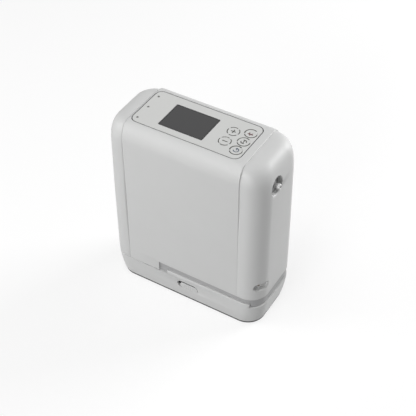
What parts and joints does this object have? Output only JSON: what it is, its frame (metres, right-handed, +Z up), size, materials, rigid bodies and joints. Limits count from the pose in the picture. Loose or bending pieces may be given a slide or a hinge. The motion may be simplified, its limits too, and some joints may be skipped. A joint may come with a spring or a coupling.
{
  "type": "portable oxygen concentrator",
  "caption": "Portable oxygen concentrator: rounded upright housing with a display and keys on top, an outlet barb in a cup, and a slide-off battery base with a latch.",
  "frame": {"origin": "middle of the base pad's lower face, on the table", "axes": "+X towards the gas outlet end, -Y is the front with the battery latch, +Z up"},
  "size_m": [0.1894, 0.08, 0.2166],
  "materials": {
    "shell": "fine satin moulded plastic, off-white",
    "panel": "smooth printed overlay",
    "band": "mid-grey moulded plastic",
    "screen": "dark gloss window",
    "black_plastic": "black moulded plastic",
    "lens": "translucent light guide",
    "board": "circuit board laminate",
    "bright_metal": "plated metal",
    "machined_metal": "machined aluminium",
    "cast_metal": "cast aluminium",
    "rubber": "soft black rubber",
    "foam": "open-cell foam",
    "contact": "gold-plated contact",
    "cell": "shrink sleeve",
    "clear_tube": "silicone tube",
    "sieve_bead": "zeolite beads"
  },
  "bodies": {
    "housing": {"centre_shell": "shell", "left_end_cap": "shell", "right_end_cap": "shell", "lower_chassis": "band", "control_panel": "panel", "display_window": "screen", "display_module": "black_plastic", "indicator_lenses": "lens", "key_switches": "black_plastic", "keypad_board": "board", "control_board": "board", "alarm_sounder": "black_plastic", "display_bracket": "black_plastic", "inner_frame": "machined_metal", "outlet_barb": "bright_metal", "outlet_seal": "rubber", "outlet_filter": "lens", "power_inlet": "black_plastic", "power_inlet_pin": "contact", "exhaust_grille": "shell", "fan_housing": "black_plastic", "pump_crankcase": "cast_metal", "pump_heads": "machined_metal", "pump_pistons": "machined_metal", "motor_can": "cast_metal", "pump_isolators": "rubber", "sieve_tube_front": "machined_metal", "sieve_tube_rear": "machined_metal", "sieve_caps": "black_plastic", "sieve_beds": "sieve_bead", "product_tank": "black_plastic", "valve_manifold": "machined_metal", "valve_solenoids": "black_plastic", "gas_tubes": "clear_tube", "breath_sensor_board": "board", "intake_silencer": "black_plastic", "chassis_contacts": "contact", "chassis_screws": "machined_metal"},
    "battery_pack": {"battery_tray": "shell", "battery_lid": "black_plastic", "battery_cells": "cell", "battery_board": "board", "battery_terminals": "black_plastic", "latch_spring": "bright_metal", "base_pad": "rubber"},
    "latch_thumb": {"latch_slider": "shell"},
    "latch_bolt": {"latch_bolt": "machined_metal"},
    "intake_cover": {"intake_cover": "shell", "intake_filter": "foam"},
    "fan_impeller": {"fan_impeller": "black_plastic"},
    "motor_rotor": {"motor_rotor": "machined_metal"},
    "key_plus": {"key_plus": "panel"},
    "key_minus": {"key_minus": "panel"},
    "key_alarm": {"key_alarm": "panel"},
    "key_mode": {"key_mode": "panel"},
    "key_power": {"key_power": "panel"}
  },
  "joints": [
    {"name": "battery_slide", "type": "slide", "parent": "housing", "child": "battery_pack", "axis": [1, 0, 0], "range_m": [0, 0.16]},
    {"name": "latch_slide", "type": "slide", "parent": "battery_pack", "child": "latch_thumb", "axis": [-1, 0, 0], "range_m": [0, 0.003], "stiffness_N_per_m": 300, "deforming": ["latch_spring"]},
    {"name": "latch_bolt_drop", "type": "slide", "parent": "battery_pack", "child": "latch_bolt", "axis": [0, 0, -1], "range_m": [0, 0.003]},
    {"name": "intake_cover_pull", "type": "slide", "parent": "housing", "child": "intake_cover", "axis": [0, 1, 0], "range_m": [0, 0.025]},
    {"name": "fan_spin", "type": "hinge", "parent": "housing", "child": "fan_impeller", "pos_m": [-0.079, 0, 0.115], "axis": [1, 0, 0], "continuous": true},
    {"name": "rotor_spin", "type": "hinge", "parent": "housing", "child": "motor_rotor", "pos_m": [-0.02, 0, 0.115], "axis": [1, 0, 0], "continuous": true},
    {"name": "key_plus_press", "type": "slide", "parent": "housing", "child": "key_plus", "axis": [0, 0, -1], "range_m": [0, 0.0006], "stiffness_N_per_m": 400, "springref_m": -0.0002},
    {"name": "key_minus_press", "type": "slide", "parent": "housing", "child": "key_minus", "axis": [0, 0, -1], "range_m": [0, 0.0006], "stiffness_N_per_m": 400, "springref_m": -0.0002},
    {"name": "key_alarm_press", "type": "slide", "parent": "housing", "child": "key_alarm", "axis": [0, 0, -1], "range_m": [0, 0.0006], "stiffness_N_per_m": 400, "springref_m": -0.0002},
    {"name": "key_mode_press", "type": "slide", "parent": "housing", "child": "key_mode", "axis": [0, 0, -1], "range_m": [0, 0.0006], "stiffness_N_per_m": 400, "springref_m": -0.0002},
    {"name": "key_power_press", "type": "slide", "parent": "housing", "child": "key_power", "axis": [0, 0, -1], "range_m": [0, 0.0006], "stiffness_N_per_m": 400, "springref_m": -0.0002}
  ],
  "couplings": [
    {"joint": "latch_bolt_drop", "follows": "latch_slide", "ratio": 1}
  ]
}
